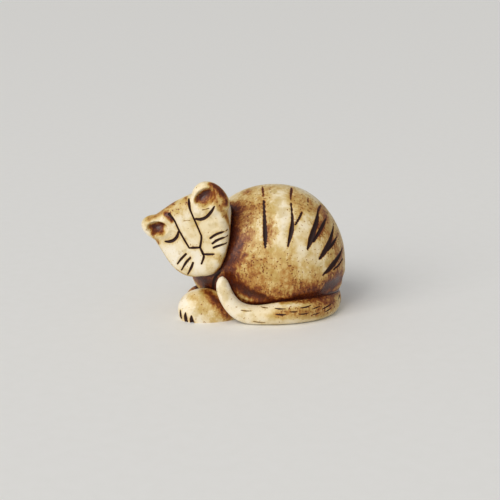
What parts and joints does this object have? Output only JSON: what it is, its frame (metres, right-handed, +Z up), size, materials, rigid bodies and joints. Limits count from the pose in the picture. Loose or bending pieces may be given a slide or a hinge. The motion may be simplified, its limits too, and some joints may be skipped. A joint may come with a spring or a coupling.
{
  "type": "cat figurine",
  "caption": "Small glazed ceramic cat asleep on its folded paws, head leaning to one side and tail wrapped round its feet, with stained brown tabby stripes.",
  "frame": {"origin": "middle of the figurine's footprint, on the surface that it stands on", "axes": "+X from the head end to the rump, the face looks towards -Y, +Z up"},
  "size_m": [0.0468, 0.0314, 0.0324],
  "materials": {
    "stained_ivory_glaze": "glossy ivory glaze with amber and dark brown stain pooled in the carved lines and hollows"
  },
  "bodies": {
    "root": {"trunk": "stained_ivory_glaze", "head": "stained_ivory_glaze", "left_ear": "stained_ivory_glaze", "right_ear": "stained_ivory_glaze", "tail": "stained_ivory_glaze", "left_forepaw": "stained_ivory_glaze", "right_forepaw": "stained_ivory_glaze", "right_hind_paw": "stained_ivory_glaze"}
  },
  "joints": []
}
